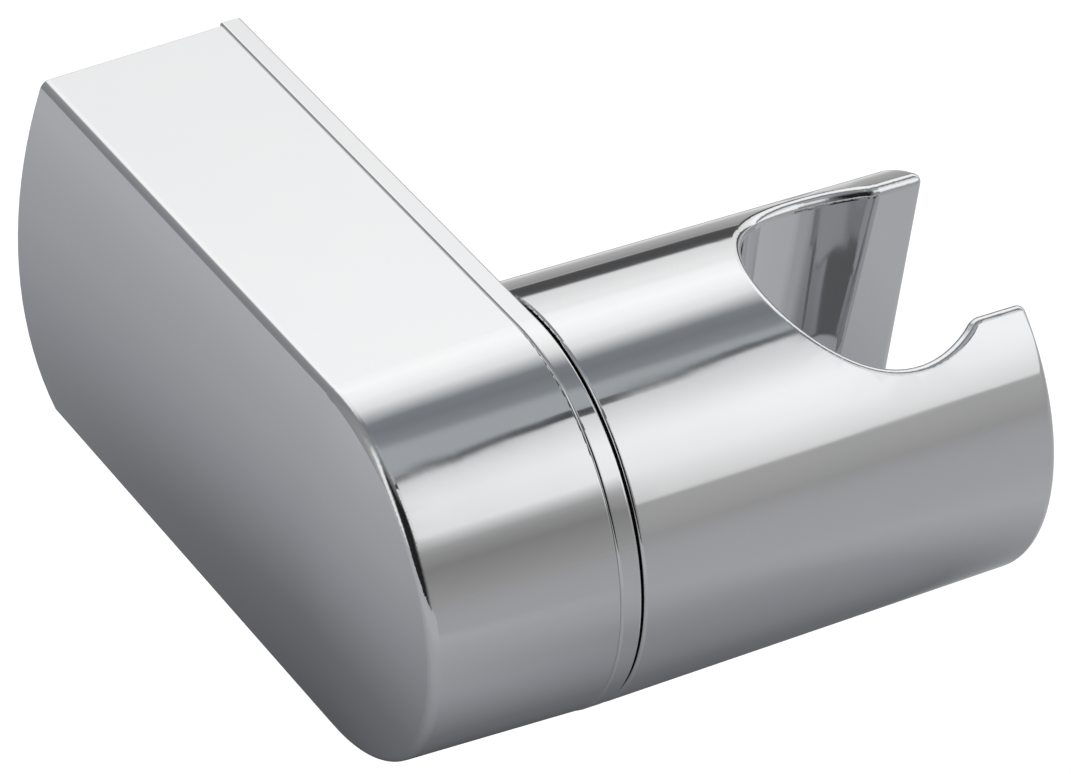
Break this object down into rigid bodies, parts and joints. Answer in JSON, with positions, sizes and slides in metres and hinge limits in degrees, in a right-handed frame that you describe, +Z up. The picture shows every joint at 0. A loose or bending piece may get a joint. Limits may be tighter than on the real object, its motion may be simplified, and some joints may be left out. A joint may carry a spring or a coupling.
{
  "type": "hand shower holder",
  "caption": "Chrome hand shower holder: a D-shaped wall unit and a round cradle with a tapered, slotted seat that tilts about a level pivot.",
  "frame": {"origin": "on the wall, midway between the two wall screws, at the height of the pivot axis", "axes": "+X along the pivot towards the cradle, +Y into the wall, +Z up"},
  "size_m": [0.0692, 0.0786, 0.04],
  "materials": {
    "chrome_plate": "mirror chrome on moulded ABS",
    "cast_aluminium": "as die-cast, satin",
    "stainless_steel": "plain bright",
    "spring_steel": "oiled dark",
    "white_acetal": "smooth matt",
    "black_nylon": "fine matt, glass-filled",
    "blue_nylon": "smooth matt",
    "black_rubber": "matt"
  },
  "bodies": {
    "wall_unit": {"cover": "chrome_plate", "side_plate": "chrome_plate", "wall_bracket": "cast_aluminium", "plate_screws": "stainless_steel", "cover_screw": "stainless_steel", "pivot_bush": "white_acetal", "friction_washer": "white_acetal", "gap_ring": "black_rubber"},
    "cradle_unit": {"cradle": "chrome_plate", "cradle_core": "black_nylon", "core_screws": "stainless_steel", "pivot_bolt": "stainless_steel", "thrust_washer": "stainless_steel", "disc_springs": "spring_steel", "nut_washer": "stainless_steel", "lock_nut": "stainless_steel", "nut_ring": "blue_nylon"}
  },
  "joints": [
    {"name": "cradle_tilt", "type": "hinge", "parent": "wall_unit", "child": "cradle_unit", "pos_m": [0, -0.0586, 0], "axis": [1, 0, 0], "continuous": true}
  ]
}
